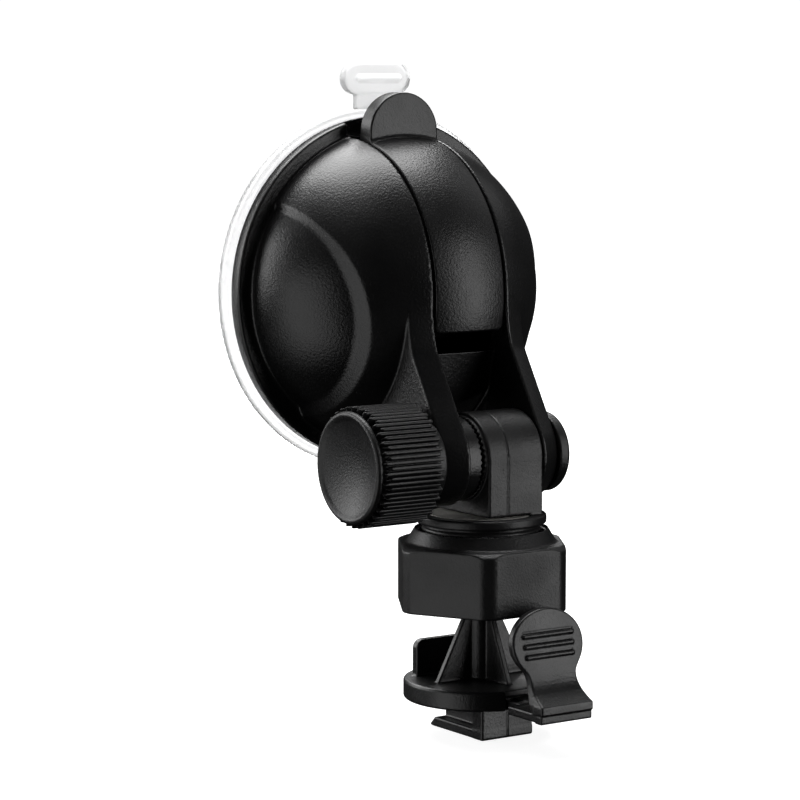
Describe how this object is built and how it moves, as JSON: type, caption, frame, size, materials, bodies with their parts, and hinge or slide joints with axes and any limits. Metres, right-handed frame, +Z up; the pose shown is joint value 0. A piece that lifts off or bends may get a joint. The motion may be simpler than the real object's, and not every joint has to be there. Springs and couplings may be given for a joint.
{
  "type": "dash camera windscreen mount",
  "caption": "Suction-cup windscreen mount: locking lever, tilting clevis joint with ribbed clamp knob, hex-nut ball joint and a latching slide-on camera shoe.",
  "frame": {"origin": "centre of the suction face, on the plane that meets the glass", "axes": "+Y is the outward normal of the suction face, +Z is up towards the pull tab, -Y points into the cabin, -X is the clamp knob's side"},
  "size_m": [0.065, 0.0591, 0.1155],
  "materials": {
    "clear_tpu": "clear soft plastic",
    "housing_black": "satin, fine spark texture",
    "lever_black": "satin, fine spark texture",
    "knob_black": "satin",
    "knuckle_black": "satin, fine spark texture",
    "nut_black": "satin",
    "stud_black": "satin",
    "latch_black": "satin, fine spark texture",
    "nylon_natural": "natural nylon",
    "steel": "zinc plated",
    "brass": "turned"
  },
  "bodies": {
    "base": {"suction_pad": "clear_tpu", "pull_tab": "clear_tpu", "base_housing": "housing_black", "wear_plate": "steel", "pivot_bolt": "steel", "bolt_cap": "knob_black", "serrated_ring": "knuckle_black"},
    "stem": {"pad_stem": "stud_black", "stem_plate": "steel", "lever_pin": "steel"},
    "lever": {"lock_lever": "lever_black"},
    "washer": {"knob_washer": "knob_black"},
    "knob": {"clamp_knob": "knob_black", "knob_cap": "knob_black", "knob_insert": "brass"},
    "knuckle": {"knuckle": "knuckle_black"},
    "ring": {"pressure_ring": "nylon_natural"},
    "nut": {"lock_nut": "nut_black"},
    "seat": {"ball_seat": "nylon_natural"},
    "stud": {"ball": "stud_black", "stud_post": "stud_black", "stud_fins": "stud_black", "foot_plate": "stud_black", "stop_wall": "stud_black", "camera_shoe": "stud_black"},
    "latch": {"latch_arm": "latch_black", "latch_tab": "latch_black"}
  },
  "joints": [
    {"name": "stem_slide", "type": "slide", "parent": "base", "child": "stem", "axis": [0, 1, 0], "range_m": [0, 0.0022], "deforming": ["suction_pad"]},
    {"name": "lever_turn", "type": "hinge", "parent": "stem", "child": "lever", "pos_m": [0, -0.025, 0], "axis": [1, 0, 0], "range_deg": [0, 75]},
    {"name": "knob_travel", "type": "slide", "parent": "base", "child": "washer", "axis": [-1, 0, 0], "range_m": [0, 0.0016]},
    {"name": "knob_turn", "type": "hinge", "parent": "washer", "child": "knob", "pos_m": [0, -0.0342, -0.0271], "axis": [-1, 0, 0], "range_deg": [0, 720]},
    {"name": "knuckle_tilt", "type": "hinge", "parent": "base", "child": "knuckle", "pos_m": [0, -0.0342, -0.0271], "axis": [1, 0, 0], "range_deg": [-90, 35]},
    {"name": "nut_travel", "type": "slide", "parent": "knuckle", "child": "ring", "axis": [0, 0, -1], "range_m": [0, 0.0005]},
    {"name": "nut_turn", "type": "hinge", "parent": "ring", "child": "nut", "pos_m": [0, -0.0342, -0.045], "axis": [0, 0, -1], "range_deg": [0, 120]},
    {"name": "ball_swivel", "type": "hinge", "parent": "knuckle", "child": "seat", "pos_m": [0, -0.0342, -0.045], "axis": [0, 0, 1], "continuous": true},
    {"name": "ball_rock", "type": "hinge", "parent": "seat", "child": "stud", "pos_m": [0, -0.0342, -0.045], "axis": [0, 1, 0], "range_deg": [-15, 15]},
    {"name": "latch_press", "type": "hinge", "parent": "stud", "child": "latch", "pos_m": [0, -0.0472, -0.0682], "axis": [-1, 0, 0], "range_deg": [0, 3.4], "stiffness_Nm_per_rad": 1.2}
  ],
  "couplings": [
    {"joint": "lever_turn", "follows": "stem_slide", "rad_per_m": 594.9},
    {"joint": "knob_turn", "follows": "knob_travel", "rad_per_m": 7853.9},
    {"joint": "nut_turn", "follows": "nut_travel", "rad_per_m": 4188.7}
  ]
}
